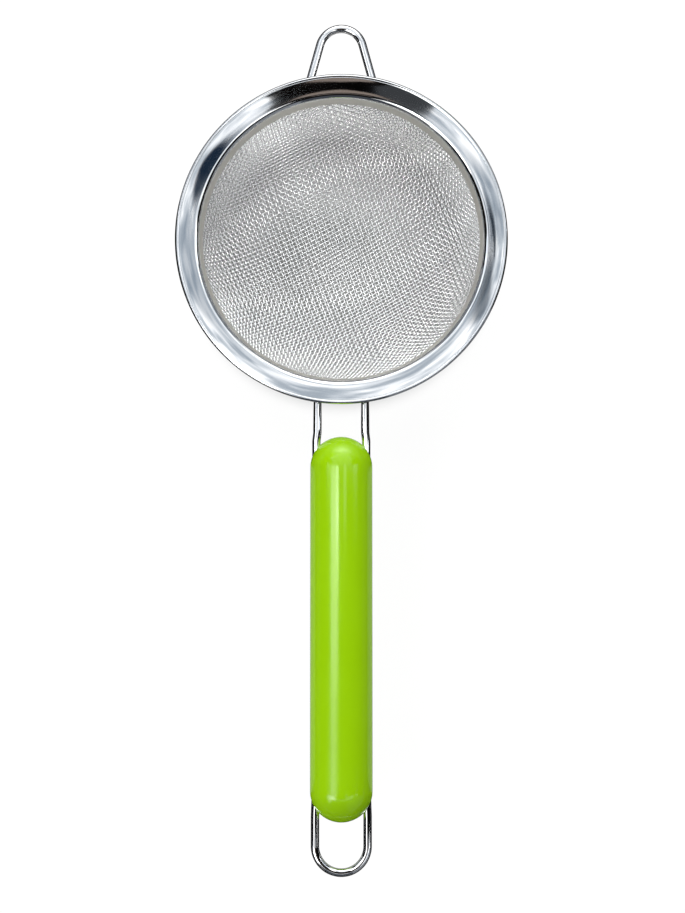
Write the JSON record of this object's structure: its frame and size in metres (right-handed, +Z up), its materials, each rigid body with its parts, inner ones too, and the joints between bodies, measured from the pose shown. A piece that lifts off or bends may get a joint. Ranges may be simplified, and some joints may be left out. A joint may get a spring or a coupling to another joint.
{
  "type": "fine mesh strainer",
  "caption": "Hand strainer: woven wire bowl held in a wide polished rim, with a wire pot rest, a hairpin wire handle in a round plastic grip and a hanging loop.",
  "frame": {"origin": "centre of the small flat under the bowl, where the bowl stands on a table", "axes": "+Z up along the bowl's axis towards its mouth, +Y from the grip towards the pot rest, +X across the handle"},
  "size_m": [0.12, 0.3068, 0.0513],
  "materials": {
    "polished_steel": "stamped stainless sheet, mirror polished",
    "wire_cloth": "plain woven stainless wire cloth, bright drawn",
    "bright_wire": "drawn stainless wire, polished",
    "lime_plastic": "moulded polypropylene, glossy lime green",
    "weld_metal": "resistance weld, dull grey"
  },
  "bodies": {
    "root": {"rim_ring": "polished_steel", "mesh_bowl": "wire_cloth", "clamp_band": "polished_steel", "rest_loop": "bright_wire", "handle_wire": "bright_wire", "grip_upper_shell": "lime_plastic", "grip_lower_shell": "lime_plastic", "rest_weld_left": "weld_metal", "rest_weld_right": "weld_metal", "handle_weld_left": "weld_metal", "handle_weld_right": "weld_metal"}
  },
  "joints": []
}
